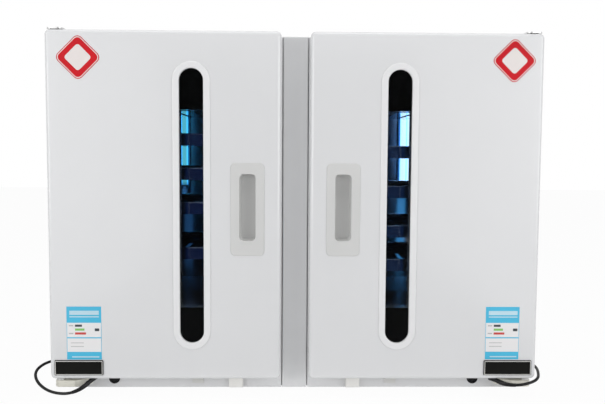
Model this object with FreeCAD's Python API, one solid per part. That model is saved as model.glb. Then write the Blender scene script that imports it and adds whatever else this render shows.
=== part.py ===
"""Ultraviolet sterilizer cabinet with two mirrored doors, in millimetres.

X runs across the cabinet, the doors face -Y and Z is up. The origin is at the middle of the
footprint, on the surface that the foot pads stand on. Pieces that come in pairs are built for the
right-hand side, where x is positive, and mirrored.
"""

import FreeCAD, Part
import math
import os

V = FreeCAD.Vector

# Doors and cabinet
DOORS_WIDTH = 992.0
DOOR_HEIGHT = 702.0
DOOR_GAP = 58.0
DOOR_THICK = 39.0
DOOR_STANDOFF = 6.0
CABINET_DEPTH = 400.0
FOOT_HEIGHT = 4.0
RAIL_HEIGHT = 31.5
TOP_STEP = 4.0
SIDE_STEP = 2.0

# Sheet metal
SHEET = 1.5
LINER_SHEET = 1.2
BEND = 6.0
SOFT_EDGE = 2.0
FRAME_DEEP = 14.0
SEAM = 1.5
STRIP_WIDTH = 51.5
POST_WIDTH = 72.0
POST_DEEP = 30.0
PAN_LIP = 20.0
CLEAR = 0.3

# Chambers
CHAMBER_SIDE = 34.5
CHAMBER_CENTRE = 49.5
BASE_TALL = 168.5
CEILING_SPACE = 27.0
REAR_SPACE = 20.0
LINER_CORNER = 10.0
LINER_FLANGE = 10.0

# Shelf trays, their places given in steps above the lowest one
SHELF_ABOVE_FLOOR = 50.5
SHELF_STEP = 12.0
SHELF_STEPS_LEFT = (4, 12, 18, 24, 30)
SHELF_STEPS_RIGHT = (2, 8, 15, 22, 30)
SHELF_SETBACK = 16.0
SHELF_TO_LAMPS = 60.0
SHELF_PLAY = 3.0
SHELF_LIP = 25.0
SHELF_CORNER = 6.0
SLOT_COUNT = 9
SLOT_WIDTH = 10.0
SLOT_MARGIN = 30.0
RACK_INSET = 40.0
RACK_WIDTH = 16.0
RACK_THICK = 2.0
STUD_ROUND = 6.0
STUD_LONG = 9.0

# Lamps
TUBE_ROUND = 16.0
TUBE_LONG = 288.0
TUBE_PITCH = 17.0
TUBE_HEADROOM = 15.0
TUBE_OFF_WALL = 25.0
LAMP_OFFSET = 34.0
CAP_LONG = 10.0
HOLDER_TALL = 12.0
HOLDER_WIDTH = 16.6
TRAY_BASE = 36.0
TRAY_MOUTH = 38.0
TRAY_DEEP = 12.0
TRAY_OVERHANG = 14.0

# Electrical pieces in the base
BALLAST = (180.0, 40.0, 28.0)
BALLAST_EAR = 12.0
TERMINALS = 6
TERMINAL_PITCH = 12.0
TERMINAL_DEEP = 22.0
TERMINAL_TALL = 18.0
INLET_INSET = 93.0
INLET_HEIGHT = 86.0
INLET_WIDTH = 48.0
INLET_TALL = 28.0
INLET_FLANGE = 2.0
INLET_MOUTH = (27.0, 19.0)
INLET_DEEP = 18.0
VENT_SLOTS = 8
VENT_PITCH = 9.0
VENT_LONG = 60.0
VENT_TALL = 4.0
VENT_INSET = 343.0
FOOT_ROUND = 30.0
FOOT_INSET = 45.0

# Hinges, with the pin's place given from the door's outer edge and its front
PIN_INSET = 17.0
PIN_BACK = 19.0
PIN_ROUND = 8.0
PIN_IN_DOOR = 15.0
PIN_PLAY = 0.05
BUSH_ROUND = 13.0
BUSH_FLANGE = 18.0
BUSH_FLANGE_TOP = 1.0
BUSH_FLANGE_FOOT = 2.0
WASHER_THICK = 2.7
TOP_PLATE = 3.0
TOP_PLATE_WIDTH = 32.0
TOP_PLATE_GAP = 1.5
TOP_PLATE_REACH = 36.0
BRACKET_LONG = 71.0
BRACKET_TALL = 13.0
BRACKET_WALL = 4.0
BRACKET_FRONT = 7.0
BRACKET_SLOPE = 21.0
BRACKET_CORNER = 12.0
BRACKET_OUTER = 6.0

# Rocker switches
SWITCH_INSET = 119.0
SWITCH_ROUND = 23.0
SWITCH_HEIGHT = 19.6
SWITCH_BODY = 20.0
SWITCH_DEEP = 24.0
SWITCH_PROUD = 2.0
ROCKER_BALL = 8.6
ROCKER_PLAY = 0.4
ROCKER_TILT = 6.0
ROCKER_PIVOT = 3.0
ROCKER_PROUD = 1.2

# Door contacts, magnets and skids on the rail
CONTACT_INSET = 93.0
CONTACT_WIDTH = 29.0
CONTACT_TALL = 21.5
CONTACT_THICK = 12.0
CONTACT_GAP = 1.5
MAGNET_TALL = 5.5
MAGNET_THICK = 11.0
SKID_INSET = 173.0
SKID_WIDTH = 24.0
SKID_TALL = 21.2
SKID_REACH = 14.0
SKID_PLATE = 3.0
SKID_HEAD = 9.0

# Door pieces
DOOR_CORNER = 10.0
DOOR_EDGE = 8.0
PAN_FLANGE = 10.0
PAN_INSET = 1.7
FIELD_MARGIN = 42.0
FIELD_DEEP = 8.0
FIELD_CORNER = 20.0
GASKET_INSET = 19.0
GASKET_END = 8.0
GASKET_WIDTH = 12.0
GASKET_CORNER = 10.0

# Window
WINDOW_INSET = 179.0
WINDOW_WIDTH = 48.0
WINDOW_MARGIN = 75.0
WINDOW_LIFT = 1.0
BEZEL_RING = 13.75
BEZEL_PROUD = 3.0
BEZEL_NECK = 6.0
BEZEL_DEEP = 6.0
GLASS_THICK = 3.0
TUNNEL_BELOW_TOP = 81.5
TUNNEL_ABOVE_FOOT = 71.5
TUNNEL_CORNER = 4.0

# Recessed pull
PULL_INSET = 67.3
PULL_WIDTH = 68.0
PULL_TALL = 187.0
PULL_CORNER = 10.0
PULL_PROUD = 2.0
PULL_MOUTH = 33.0
PULL_MOUTH_TALL = 135.0
PULL_MOUTH_CORNER = 9.0
PULL_MOUTH_LIFT = 4.2
PULL_DROP = 3.3
PULL_DEEP = 24.0
PULL_WALL = 2.0
PULL_HOOK = 11.0
PULL_DRAFT = 3.0

# Name plate
NAME_INSET = 59.0
NAME_WIDTH = 98.0
NAME_TALL = 31.0
NAME_THICK = 2.5
NAME_RIM = 3.5
NAME_LIFT = 9.0

# Leads between the doors and the cabinet's sides
LEAD_ROUND = 6.0
BOOT_INSET = 84.0
BOOT_BACK = 14.4
BOOT_LONG = 14.0
BOOT_ROUND = 11.0
BOOT_TIP = 8.4
GLAND_ROUND = 12.0
GLAND_ARM = 12.0

# Routes of the leads, from the boot under the door to the gland on the cabinet's side: distance
# outside the door's outer edge, depth behind the door's front, and height above the door's foot.
LEFT_ROUTE = [
    (-76.0, 5.3, -8.4), (-69.0, -3.0, -14.0), (-57.0, -9.0, -20.5), (-40.5, -11.0, -25.5),
    (-20.5, -8.0, -26.8), (1.0, 1.0, -25.5), (20.0, 12.0, -20.5), (35.0, 24.0, -12.5),
    (43.5, 36.0, -2.5), (43.0, 47.0, 6.0), (35.0, 59.0, 12.5), (24.0, 71.5, 15.5),
    (14.5, 83.0, 15.5),
]
RIGHT_ROUTE = [
    (-76.0, 4.4, -5.5), (-68.5, -4.0, -7.5), (-56.5, -10.0, -8.5), (-42.5, -12.0, -8.5),
    (-28.0, -12.0, -7.0), (-13.5, -10.0, -4.0), (-0.5, -5.0, -0.5), (8.0, 5.0, 3.0),
    (12.5, 18.0, 6.0), (16.0, 32.0, 8.5), (18.0, 46.0, 10.0), (17.5, 59.0, 11.0),
    (14.5, 71.0, 11.0), (10.5, 80.5, 11.0),
]

# Planes and centre lines that the pieces share
OVERALL_DEPTH = BEZEL_PROUD + DOOR_THICK + DOOR_STANDOFF + CABINET_DEPTH + INLET_FLANGE
DOOR_Y = -OVERALL_DEPTH / 2 + BEZEL_PROUD
DOOR_BACK = DOOR_Y + DOOR_THICK
FACE_Y = DOOR_BACK + DOOR_STANDOFF
REAR_Y = FACE_Y + CABINET_DEPTH
FRAME_BACK = FACE_Y + FRAME_DEEP
DOOR_OUTER = DOORS_WIDTH / 2
DOOR_INNER = DOOR_GAP / 2
DOOR_FOOT = FOOT_HEIGHT + RAIL_HEIGHT
DOOR_TOP = DOOR_FOOT + DOOR_HEIGHT
CAB_X = DOOR_OUTER - SIDE_STEP
CAB_FOOT = FOOT_HEIGHT
CAB_TOP = DOOR_TOP - TOP_STEP
FRAME_INNER = STRIP_WIDTH / 2 + SEAM
CHAMBER_OUTER = CAB_X - CHAMBER_SIDE
CHAMBER_BACK = REAR_Y - REAR_SPACE
CHAMBER_FLOOR = CAB_FOOT + BASE_TALL
CHAMBER_TOP = CAB_TOP - CEILING_SPACE
PIN_X = DOOR_OUTER - PIN_INSET
PIN_Y = DOOR_Y + PIN_BACK
PULL_X = DOOR_INNER + PULL_INSET
DOOR_Z = (DOOR_FOOT + DOOR_TOP) / 2
PULL_Z = DOOR_Z - PULL_DROP
MOUTH_Z = PULL_Z + PULL_MOUTH_LIFT
WINDOW_X = DOOR_INNER + WINDOW_INSET
WINDOW_Z = DOOR_Z + WINDOW_LIFT
WINDOW_TALL = DOOR_HEIGHT - 2 * WINDOW_MARGIN
TUNNEL_TALL = WINDOW_TALL - TUNNEL_BELOW_TOP - TUNNEL_ABOVE_FOOT
TUNNEL_Z = WINDOW_Z + (TUNNEL_ABOVE_FOOT - TUNNEL_BELOW_TOP) / 2
NAME_X = DOOR_OUTER - NAME_INSET
SHELF_Y = FRAME_BACK + SHELF_SETBACK
SHELF_DEEP = CHAMBER_BACK - SHELF_TO_LAMPS - SHELF_Y
LAMP_X = (CHAMBER_CENTRE + CHAMBER_OUTER) / 2 + LAMP_OFFSET
TUBE_FOOT = CHAMBER_TOP - TUBE_HEADROOM - TUBE_LONG
INLET_X = CAB_X - INLET_INSET
INLET_Z = CAB_FOOT + INLET_HEIGHT
VENT_X = CAB_X - VENT_INSET
SWITCH_X = DOOR_OUTER - SWITCH_INSET
SWITCH_Z = CAB_FOOT + SWITCH_HEIGHT
CONTACT_X = DOOR_INNER + CONTACT_INSET
SKID_X = DOOR_INNER + SKID_INSET
BRACKET_TOP = DOOR_FOOT - BUSH_FLANGE_FOOT - CLEAR - WASHER_THICK
BRACKET_FOOT = BRACKET_TOP - BRACKET_TALL


def box(x0, x1, y0, y1, z0, z1):
    return Part.makeBox(x1 - x0, y1 - y0, z1 - z0, V(x0, y0, z0))


def rod(x, y, z, radius, length, along=V(0, 0, 1)):
    return Part.makeCylinder(radius, length, V(x, y, z), along)


def rounded_rect(x0, x1, z0, z1, r, y):
    """A closed wire round an upright rectangle with rounded corners."""
    edges = []
    first = last = None
    for cx, cz, start in (
        (x1 - r, z1 - r, 0),
        (x0 + r, z1 - r, 90),
        (x0 + r, z0 + r, 180),
        (x1 - r, z0 + r, 270),
    ):
        turn = [math.radians(start + a) for a in (0, 45, 90)]
        points = [V(cx + r * math.cos(a), y, cz + r * math.sin(a)) for a in turn]
        if last is not None and last.distanceToPoint(points[0]) > 1e-6:
            edges.append(Part.LineSegment(last, points[0]).toShape())
        edges.append(Part.Arc(*points).toShape())
        first = first or points[0]
        last = points[2]
    if last.distanceToPoint(first) > 1e-6:
        edges.append(Part.LineSegment(last, first).toShape())
    return Part.Wire(edges)


def slab(x0, x1, z0, z1, r, y0, y1):
    """An upright plate with rounded corners, from y0 back to y1."""
    return Part.Face(rounded_rect(x0, x1, z0, z1, r, y0)).extrude(V(0, y1 - y0, 0))


def slab_about(x, z, width, height, r, y0, y1):
    return slab(x - width / 2, x + width / 2, z - height / 2, z + height / 2, r, y0, y1)


def polygon(points, along):
    """A prism over a closed outline."""
    return Part.Face(Part.makePolygon(points + points[:1])).extrude(along)


def soften(shape, radius, test):
    """Rounds the edges whose middle and direction pass the test."""
    picked = []
    for edge in shape.Edges:
        span = edge.BoundBox
        size = V(span.XLength, span.YLength, span.ZLength)
        if test(span.Center, size):
            picked.append(edge)
    return shape.makeFillet(radius, picked)


def soften_face(shape, radius, y):
    """Rounds every edge that lies in the upright plane at y."""
    return soften(shape, radius, lambda c, s: abs(c.y - y) < 1e-6 and s.y < 1e-6)


def mirrored(shape):
    return shape.mirror(V(0, 0, 0), V(1, 0, 0))


def both(shape):
    return Part.makeCompound([mirrored(shape), shape])


# Cabinet


def outer_shell():
    """Sides and top folded from one sheet, open below, with a hole for each lead's gland."""

    def wrap(inset, y0, y1):
        block = box(-CAB_X + inset, CAB_X - inset, y0, y1, CAB_FOOT, CAB_TOP - inset)
        return soften(
            block, BEND - inset, lambda c, s: c.z > CAB_TOP - inset - 1 and s.x < 1e-6
        )

    shell = wrap(0, FRAME_BACK, REAR_Y).cut(wrap(SHEET, FRAME_BACK - 1, REAR_Y + 1))
    holes = []
    for side in (-1, 1):
        gland = gland_corner(side)
        holes.append(rod(gland.x, gland.y, gland.z, GLAND_ROUND / 4, GLAND_ROUND * 2, V(-side, 0, 0)))
    return shell.cut(Part.makeCompound(holes))


def back_panel():
    """Flat rear sheet between the sides, with vents and the hole for the mains inlet."""
    inner = CAB_X - SHEET
    sheet = box(-inner, inner, REAR_Y - SHEET, REAR_Y, CAB_FOOT, CAB_TOP - SHEET)
    sheet = soften(sheet, BEND - SHEET, lambda c, s: c.z > CAB_TOP - SHEET - 1 and s.y > 1 > s.x)
    cuts = [slab_about(INLET_X, INLET_Z, *INLET_MOUTH, 2, REAR_Y - SHEET - 1, REAR_Y + 1)]
    for side in (-1, 1):
        for row in range(VENT_SLOTS):
            z = INLET_Z + (row - (VENT_SLOTS - 1) / 2) * VENT_PITCH
            cuts.append(
                slab_about(
                    side * VENT_X, z, VENT_LONG, VENT_TALL, VENT_TALL / 2,
                    REAR_Y - SHEET - 1, REAR_Y + 1,
                )
            )
    return sheet.cut(Part.makeCompound(cuts))


def base_pan():
    """Tray that closes the bottom and carries the electrical pieces."""
    inner = CAB_X - SHEET
    y0, y1 = FRAME_BACK, REAR_Y - SHEET
    outer = box(-inner, inner, y0, y1, CAB_FOOT, CAB_FOOT + PAN_LIP)
    hollow = box(
        -inner + SHEET, inner - SHEET, y0 + SHEET, y1 - SHEET,
        CAB_FOOT + SHEET, CAB_FOOT + PAN_LIP + 1,
    )
    room = [
        rod(side * SWITCH_X, y0 - 1, SWITCH_Z, SWITCH_BODY / 2 + CLEAR, SHEET + 2, V(0, 1, 0))
        for side in (-1, 1)
    ]
    return outer.cut(Part.makeCompound([hollow] + room))


def front_frame():
    """Face frame folded back at its rim and round the chamber's mouth."""
    top, foot = CAB_TOP, CAB_FOOT
    block = box(FRAME_INNER, CAB_X, FACE_Y, FRAME_BACK, foot, top)
    block = soften(
        block, BEND, lambda c, s: c.z > top - 1 and c.x > CAB_X - 1 and s.y > 1
    )
    block = soften_face(block, SOFT_EDGE, FACE_Y)
    hollow = box(
        FRAME_INNER + SHEET, CAB_X - SHEET, FACE_Y + SHEET, FRAME_BACK + 1,
        foot + SHEET, top - SHEET,
    )
    hollow = soften(
        hollow, BEND - SHEET, lambda c, s: c.z > top - SHEET - 1 and c.x > CAB_X - SHEET - 1 and s.y > 1
    )
    mouth = box(
        CHAMBER_CENTRE, CHAMBER_OUTER, FACE_Y - 1, FRAME_BACK + 2, CHAMBER_FLOOR, CHAMBER_TOP
    )
    collar = box(
        CHAMBER_CENTRE - SHEET, CHAMBER_OUTER + SHEET, FACE_Y, FRAME_BACK + 2,
        CHAMBER_FLOOR - SHEET, CHAMBER_TOP + SHEET,
    )
    frame = block.cut(hollow.cut(collar)).cut(mouth)
    return frame.cut(rod(SWITCH_X, FACE_Y - 1, SWITCH_Z, SWITCH_BODY / 2 + 0.1, 4, V(0, 1, 0)))


def centre_strip():
    """Channel that covers the post between the two face frames, over the full height."""
    half = STRIP_WIDTH / 2
    strip = box(-half, half, FACE_Y, FRAME_BACK, CAB_FOOT, CAB_TOP)
    strip = soften_face(strip, SOFT_EDGE, FACE_Y)
    hollow = box(
        -half + SHEET, half - SHEET, FACE_Y + SHEET, FRAME_BACK + 1,
        CAB_FOOT + SHEET, CAB_TOP - SHEET,
    )
    return strip.cut(hollow)


def centre_post():
    """Channel post behind the strip, which both frames are fixed to."""
    half = POST_WIDTH / 2
    z0, z1 = CAB_FOOT + PAN_LIP + CLEAR, CAB_TOP - SHEET
    post = box(-half, half, FRAME_BACK, FRAME_BACK + POST_DEEP, z0, z1)
    hollow = box(
        -half + SHEET, half - SHEET, FRAME_BACK + SHEET, FRAME_BACK + POST_DEEP + 1,
        z0 - 1, z1 + 1,
    )
    return post.cut(hollow)


def chamber_liner():
    """Stainless box of one chamber, with a flange behind the face frame."""

    def room(grow, y0, y1):
        block = box(
            CHAMBER_CENTRE - grow, CHAMBER_OUTER + grow, y0, y1,
            CHAMBER_FLOOR - grow, CHAMBER_TOP + grow,
        )
        return soften(
            block, LINER_CORNER + grow, lambda c, s: c.y > y1 - 1 and s.x < 1e-6 and s.z > 1
        )

    flange = box(
        CHAMBER_CENTRE - LINER_FLANGE, CHAMBER_OUTER + LINER_FLANGE,
        FRAME_BACK, FRAME_BACK + LINER_SHEET,
        CHAMBER_FLOOR - LINER_FLANGE, CHAMBER_TOP + LINER_FLANGE,
    )
    outside = room(LINER_SHEET, FRAME_BACK, CHAMBER_BACK + LINER_SHEET)
    return outside.fuse(flange).cut(room(0, FRAME_BACK - 1, CHAMBER_BACK)).removeSplitter()


def shelf_heights(side):
    """Undersides of the trays in the chamber on one side."""
    steps = SHELF_STEPS_RIGHT if side > 0 else SHELF_STEPS_LEFT
    return [CHAMBER_FLOOR + SHELF_ABOVE_FLOOR + k * SHELF_STEP for k in steps]


def rack_places():
    """For each rack strip of one chamber: its wall, the way into the chamber, its middle."""
    middles = (SHELF_Y + RACK_INSET, SHELF_Y + SHELF_DEEP - RACK_INSET)
    walls = ((CHAMBER_CENTRE, 1), (CHAMBER_OUTER, -1))
    return [(wall, into, y) for y in middles for wall, into in walls]


def shelf_racks():
    """Upright strips spot welded to the liners, four in each chamber."""
    lowest = CHAMBER_FLOOR + SHELF_ABOVE_FLOOR
    z0 = lowest - 2 * SHELF_STEP
    z1 = lowest + (max(SHELF_STEPS_RIGHT) + 2) * SHELF_STEP
    half = RACK_WIDTH / 2
    strips = []
    for wall, into, y in rack_places():
        face = wall + into * RACK_THICK
        strips.append(box(min(wall, face), max(wall, face), y - half, y + half, z0, z1))
    return both(Part.makeCompound(strips))


def chamber_studs(side):
    """A stud pressed into a rack strip under each corner of each tray."""
    studs = []
    for wall, into, y in rack_places():
        face = wall + into * RACK_THICK
        studs += [
            rod(face, y, z - STUD_ROUND / 2, STUD_ROUND / 2, STUD_LONG, V(into, 0, 0))
            for z in shelf_heights(side)
        ]
    return Part.makeCompound(studs)


def rack_studs():
    return Part.makeCompound([chamber_studs(1), mirrored(chamber_studs(-1))])


def shelf_tray(z):
    """Shallow pan of thin polished sheet, its floor slotted from front to back."""
    gap = RACK_THICK + SHELF_PLAY
    x0, x1 = CHAMBER_CENTRE + gap, CHAMBER_OUTER - gap
    y0, y1 = SHELF_Y, SHELF_Y + SHELF_DEEP
    t = LINER_SHEET
    pan = soften(box(x0, x1, y0, y1, z, z + SHELF_LIP), SHELF_CORNER, lambda c, s: s.z > 1)
    well = box(x0 + t, x1 - t, y0 + t, y1 - t, z + t, z + SHELF_LIP + 1)
    pan = pan.cut(soften(well, SHELF_CORNER - t, lambda c, s: s.z > 1))
    pitch = (x1 - x0 - 2 * SLOT_MARGIN) / (SLOT_COUNT - 1)
    slots = []
    for k in range(SLOT_COUNT):
        x = x0 + SLOT_MARGIN + k * pitch
        half = SLOT_WIDTH / 2
        near, far = y0 + SLOT_MARGIN, y1 - SLOT_MARGIN
        slots.append(box(x - half, x + half, near + half, far - half, z - t, z + 2 * t))
        slots += [rod(x, y, z - t, half, 3 * t) for y in (near + half, far - half)]
    return pan.cut(slots)


def lowest_tray(side):
    """The tray that closes off the bottom of a chamber, above its floor."""
    return shelf_tray(min(shelf_heights(side)))


def shelf_trays():
    """The trays above the lowest one."""
    right = [shelf_tray(z) for z in sorted(shelf_heights(1))[1:]]
    left = [mirrored(shelf_tray(z)) for z in sorted(shelf_heights(-1))[1:]]
    return Part.makeCompound(left + right)


def tube_places():
    y = CHAMBER_BACK - TUBE_OFF_WALL
    return [(LAMP_X - TUBE_PITCH / 2, y), (LAMP_X + TUBE_PITCH / 2, y)]


def lamp_trays():
    """Reflector channel with flared sides, upright on each chamber's back wall."""
    back = CHAMBER_BACK
    front = back - TRAY_DEEP
    base, mouth, t = TRAY_BASE / 2, TRAY_MOUTH / 2, LINER_SHEET
    z0 = TUBE_FOOT - TRAY_OVERHANG
    z1 = TUBE_FOOT + TUBE_LONG + TRAY_OVERHANG
    outline = [
        (-base, back), (base, back), (mouth, front), (mouth - 1.2 * t, front),
        (base - t, back - t), (-base + t, back - t), (-mouth + 1.2 * t, front), (-mouth, front),
    ]
    points = [V(LAMP_X + x, y, z0) for x, y in outline]
    return both(polygon(points, V(0, 0, z1 - z0)))


def lamp_holders():
    """Tube holders, with a round nose over the end of each tube."""
    holders = []
    half = HOLDER_WIDTH / 2
    back = CHAMBER_BACK - LINER_SHEET
    for x, y in tube_places():
        for z in (TUBE_FOOT - HOLDER_TALL, TUBE_FOOT + TUBE_LONG):
            stem = box(x - half, x + half, y, back, z, z + HOLDER_TALL)
            holders.append(stem.fuse(rod(x, y, z, half, HOLDER_TALL)).removeSplitter())
    return both(Part.makeCompound(holders))


def uv_tubes():
    glass = [
        rod(x, y, TUBE_FOOT + CAP_LONG, TUBE_ROUND / 2, TUBE_LONG - 2 * CAP_LONG)
        for x, y in tube_places()
    ]
    return both(Part.makeCompound(glass))


def tube_caps():
    caps = []
    for x, y in tube_places():
        for z in (TUBE_FOOT, TUBE_FOOT + TUBE_LONG - CAP_LONG):
            caps.append(rod(x, y, z, TUBE_ROUND / 2, CAP_LONG))
    return both(Part.makeCompound(caps))


def ballasts():
    """Lamp ballasts with a screwed ear at each end, on the base pan."""
    long, deep, tall = BALLAST
    y = (FACE_Y + REAR_Y) / 2
    z = CAB_FOOT + SHEET
    case = box(LAMP_X - long / 2, LAMP_X + long / 2, y - deep / 2, y + deep / 2, z, z + tall)
    case = soften(case, 2, lambda c, s: c.z > z + tall - 1)
    reach = long / 2 + BALLAST_EAR
    ears = slab_about(LAMP_X, 0, 2 * reach, deep * 0.6, 4, 0, SHEET)
    ears.rotate(V(0, 0, 0), V(1, 0, 0), 90)
    ears.translate(V(0, y, z))
    return both(case.fuse(ears))


def terminal_block():
    """Barrier strip in the middle of the base pan."""
    half = TERMINALS * TERMINAL_PITCH / 2
    y = (FACE_Y + REAR_Y) / 2
    z = CAB_FOOT + SHEET
    top = z + TERMINAL_TALL
    block = box(-half, half, y - TERMINAL_DEEP / 2, y + TERMINAL_DEEP / 2, z, top)
    cell = TERMINAL_PITCH / 2 - 1
    for k in range(TERMINALS):
        x = (k + 0.5) * TERMINAL_PITCH - half
        for side in (-1, 1):
            far = y + side * (TERMINAL_DEEP / 2 + 1)
            near = y + side * 2
            well = box(x - cell, x + cell, min(near, far), max(near, far), top - TERMINAL_TALL / 2, top + 1)
            block = block.cut(well)
    return block


def mains_inlet():
    """Three-pin appliance inlet, its flange flat on the back panel."""
    wide, tall = INLET_MOUTH
    front, deep = REAR_Y + INLET_FLANGE, REAR_Y - INLET_DEEP
    flange = slab_about(INLET_X, INLET_Z, INLET_WIDTH, INLET_TALL, 4, REAR_Y, front)
    body = slab_about(INLET_X, INLET_Z, wide - CLEAR, tall - CLEAR, 2, deep, REAR_Y)
    pocket = slab_about(INLET_X, INLET_Z, wide - 4, tall - 4, 1.5, deep + 3, front + 1)
    pins = []
    for across, up in ((-7, -2), (0, 2), (7, -2)):
        x, z = INLET_X + across, INLET_Z + up
        pins.append(box(x - 1, x + 1, deep + 2, REAR_Y - 1, z - 2, z + 2))
    return flange.fuse(body).cut(pocket).fuse(pins)


def foot_pads():
    pads = []
    for y in (FACE_Y + FOOT_INSET, REAR_Y - FOOT_INSET):
        pad = rod(CAB_X - FOOT_INSET, y, 0, FOOT_ROUND / 2, FOOT_HEIGHT)
        pads.append(soften(pad, 1, lambda c, s: c.z < 1e-6 and s.z < 1e-6))
    return both(Part.makeCompound(pads))


# Hinges


def top_hinge():
    """Bent plate on the cabinet's top that reaches over the door and carries the upper pin."""
    x0, x1 = CAB_X - TOP_PLATE_WIDTH, CAB_X
    low = CAB_TOP
    high = DOOR_TOP + TOP_PLATE_GAP
    front = PIN_Y - PIN_ROUND - 5
    rear = FACE_Y + TOP_PLATE_REACH
    bend = FACE_Y + 2
    outline = [
        (front, high), (bend, high), (bend, low), (rear, low),
        (rear, low + TOP_PLATE), (bend + TOP_PLATE, low + TOP_PLATE),
        (bend + TOP_PLATE, high + TOP_PLATE), (front, high + TOP_PLATE),
    ]
    plate = polygon([V(x0, y, z) for y, z in outline], V(x1 - x0, 0, 0))
    plate = soften(plate, 10, lambda c, s: c.y < front + 1 and s.z > 1)
    pin = rod(PIN_X, PIN_Y, DOOR_TOP - PIN_IN_DOOR, PIN_ROUND / 2, PIN_IN_DOOR + TOP_PLATE_GAP + 1)
    return plate.fuse(pin)


def bracket_outline(inset):
    """Plan of the bottom bracket: full depth at the pin, slanting back towards its inner end."""
    outer = DOOR_OUTER - BRACKET_OUTER - inset
    inner = DOOR_OUTER - BRACKET_OUTER - BRACKET_LONG + inset
    front = DOOR_Y + BRACKET_FRONT + inset
    knee = (outer + inner) / 2 - BRACKET_CORNER / 2
    return [
        (outer, FACE_Y - inset), (outer, front), (knee, front),
        (inner, front + BRACKET_SLOPE), (inner, FACE_Y - inset),
    ]


def bottom_hinge():
    """Cast bracket under the door's corner, hollow below, with a boss for the lower pin."""
    top = BRACKET_TOP
    solid = polygon([V(x, y, BRACKET_FOOT) for x, y in bracket_outline(0)], V(0, 0, top - BRACKET_FOOT))
    front = DOOR_Y + BRACKET_FRONT
    outer = DOOR_OUTER - BRACKET_OUTER
    solid = soften(
        solid, BRACKET_CORNER, lambda c, s: c.x > outer - 1 and c.y < front + 1 and s.z > 1
    )
    solid = soften(solid, SOFT_EDGE, lambda c, s: c.z > top - 0.1 and c.y < FACE_Y - 1)
    hollow = polygon(
        [V(x, y, BRACKET_FOOT - 1) for x, y in bracket_outline(BRACKET_WALL)],
        V(0, 0, top - BRACKET_WALL - BRACKET_FOOT + 1),
    )
    hollow = soften(
        hollow, BRACKET_CORNER - BRACKET_WALL,
        lambda c, s: c.x > outer - BRACKET_WALL - 1 and c.y < front + BRACKET_WALL + 1 and s.z > 1,
    )
    boss = rod(PIN_X, PIN_Y, BRACKET_FOOT, PIN_ROUND, top - BRACKET_FOOT - 1)
    pin = rod(PIN_X, PIN_Y, top - 2, PIN_ROUND / 2, DOOR_FOOT + PIN_IN_DOOR - top + 2)
    return solid.cut(hollow).fuse([boss, pin])


def pin_washers():
    washer = rod(PIN_X, PIN_Y, BRACKET_TOP, BUSH_FLANGE / 2, WASHER_THICK)
    return both(washer.cut(rod(PIN_X, PIN_Y, BRACKET_TOP - 1, PIN_ROUND / 2, WASHER_THICK + 2)))


# Switches and small pieces on the rail


def rocker_axis():
    return V(SWITCH_X, FACE_Y + ROCKER_PIVOT, SWITCH_Z)


def switch_bezels():
    """Round snap-in housing with a flange on the rail and a ball-shaped seat for the rocker."""
    flange = rod(SWITCH_X, FACE_Y - SWITCH_PROUD, SWITCH_Z, SWITCH_ROUND / 2, SWITCH_PROUD, V(0, 1, 0))
    flange = soften_face(flange, 1, FACE_Y - SWITCH_PROUD)
    body = rod(SWITCH_X, FACE_Y, SWITCH_Z, SWITCH_BODY / 2, SWITCH_DEEP, V(0, 1, 0))
    seat = ROCKER_BALL + ROCKER_PLAY
    front = FACE_Y - SWITCH_PROUD - 1
    mouth = rod(SWITCH_X, front, SWITCH_Z, seat, FACE_Y + ROCKER_PIVOT - front, V(0, 1, 0))
    return both(flange.fuse(body).cut(mouth).cut(Part.makeSphere(seat, rocker_axis())))


def switch_rocker():
    """Ball-sided rocker with a shallow V front, resting with its lower half pressed in."""
    centre = rocker_axis()
    ball = Part.makeSphere(ROCKER_BALL, centre)
    reach = ROCKER_BALL + 2
    apex = FACE_Y - ROCKER_PROUD
    rise = reach * math.tan(math.radians(ROCKER_TILT))
    outline = [
        (apex, 0), (apex - rise, reach), (centre.y + 4, reach), (centre.y + 4, -reach), (apex - rise, -reach),
    ]
    wedge = polygon(
        [V(centre.x - reach, y, centre.z + z) for y, z in outline], V(2 * reach, 0, 0)
    )
    rocker = ball.common(wedge)
    rocker.rotate(centre, V(1, 0, 0), ROCKER_TILT)
    return rocker


def door_contacts():
    """White switch block on the rail, which the door's magnet stands over when it is shut."""
    top = DOOR_FOOT - MAGNET_TALL - CONTACT_GAP
    block = box(
        CONTACT_X - CONTACT_WIDTH / 2, CONTACT_X + CONTACT_WIDTH / 2,
        FACE_Y - CONTACT_THICK, FACE_Y, top - CONTACT_TALL, top,
    )
    return both(soften_face(block, 2, FACE_Y - CONTACT_THICK))


def contact_magnet():
    y1 = DOOR_BACK - 1
    block = box(
        CONTACT_X - CONTACT_WIDTH / 2, CONTACT_X + CONTACT_WIDTH / 2,
        y1 - MAGNET_THICK, y1, DOOR_FOOT - MAGNET_TALL, DOOR_FOOT,
    )
    return soften(block, 1.5, lambda c, s: c.z < DOOR_FOOT - MAGNET_TALL + 0.1)


def door_skids():
    """Nylon glide on the rail, with a ramp that the closing door rides up."""
    top = DOOR_FOOT - CLEAR
    foot = top - SKID_TALL
    outline = [
        (FACE_Y, foot), (FACE_Y, top), (FACE_Y - SKID_REACH + 6, top),
        (FACE_Y - SKID_REACH, top - 3), (FACE_Y - SKID_REACH, top - SKID_HEAD),
        (FACE_Y - SKID_PLATE, top - SKID_HEAD - 3), (FACE_Y - SKID_PLATE, foot),
    ]
    x0 = SKID_X - SKID_WIDTH / 2
    return both(polygon([V(x0, y, z) for y, z in outline], V(SKID_WIDTH, 0, 0)))


# Doors


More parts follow.
